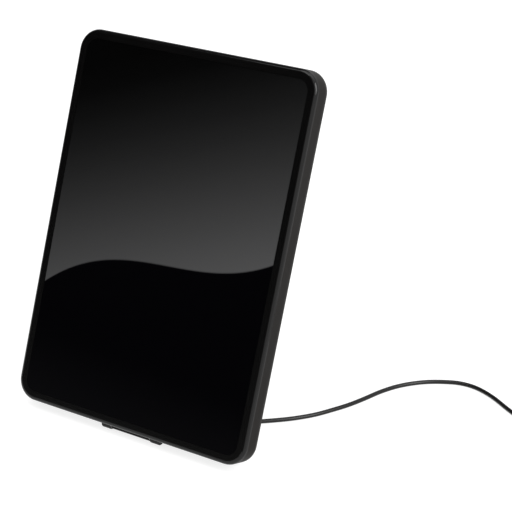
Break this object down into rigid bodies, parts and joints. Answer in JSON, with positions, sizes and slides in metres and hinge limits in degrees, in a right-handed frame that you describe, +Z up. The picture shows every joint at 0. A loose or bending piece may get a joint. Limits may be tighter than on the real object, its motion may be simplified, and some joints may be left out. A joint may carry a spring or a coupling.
{
  "type": "indoor tv antenna",
  "caption": "Flat indoor television aerial in a slim case with a glossy window, leaning back on a fold-out rear leg, with a thin coaxial cord, a coil of the rest and an aerial plug.",
  "frame": {"origin": "on the ground under the middle of the box round the case and the opened leg", "axes": "+X to the right seen from the front, +Y towards the back, where the leg opens, +Z up"},
  "size_m": [0.3034, 0.2124, 0.2105],
  "materials": {
    "moulded_frame": "fine matte moulded plastic",
    "window_gloss": "polished acrylic, printed dark behind",
    "foil_grey": "graded grey printed foil",
    "sheet_black": "black printed sheet",
    "tape_grey": "foam adhesive",
    "moulded_cover": "fine matte moulded plastic",
    "screw_black": "black zinc plated steel",
    "board_green": "solder mask over glass fibre",
    "radiator_copper": "rolled copper alloy sheet",
    "ferrite": "sintered ferrite",
    "tin_plate": "tin plated steel",
    "chip_black": "moulded epoxy",
    "screw_zinc": "zinc plated steel",
    "cord_jacket": "smooth soft jacket",
    "clamp_white": "natural nylon",
    "relief_rubber": "soft moulded rubber",
    "pin_steel": "drawn steel wire",
    "washer_steel": "spring steel",
    "moulded_leg": "fine matte moulded plastic",
    "pad_rubber": "matte rubber",
    "tie_black": "woven hook and loop strip",
    "grip_rubber": "moulded soft plastic",
    "sleeve_nickel": "nickel plated brass",
    "insulator_white": "moulded insulator",
    "contact_brass": "plated brass"
  },
  "bodies": {
    "case": {"front_frame": "moulded_frame", "front_window": "window_gloss", "graded_foil": "foil_grey", "black_sheet": "sheet_black", "adhesive_frame": "tape_grey", "back_cover": "moulded_cover", "case_screws": "screw_black", "antenna_board": "board_green", "radiator_left": "radiator_copper", "radiator_right": "radiator_copper", "balun_core": "ferrite", "shield_can": "tin_plate", "amplifier_chips": "chip_black", "board_screws": "screw_zinc", "inner_coax": "cord_jacket", "cable_clamp": "clamp_white", "clamp_screws": "screw_zinc", "strain_relief": "relief_rubber", "hinge_pin": "pin_steel", "spring_washers": "washer_steel", "coax_cord": "cord_jacket", "cord_coil": "cord_jacket", "cord_tie": "tie_black", "plug_lead": "cord_jacket", "plug_grip": "grip_rubber", "plug_sleeve": "sleeve_nickel", "plug_insulator": "insulator_white", "plug_pin": "contact_brass"},
    "leg": {"stand_leg": "moulded_leg", "leg_pads": "pad_rubber"}
  },
  "joints": [
    {"name": "stand_fold", "type": "hinge", "parent": "case", "child": "leg", "pos_m": [0, -0.03885, 0.004], "axis": [1, 0, 0], "range_deg": [0, 68]}
  ]
}
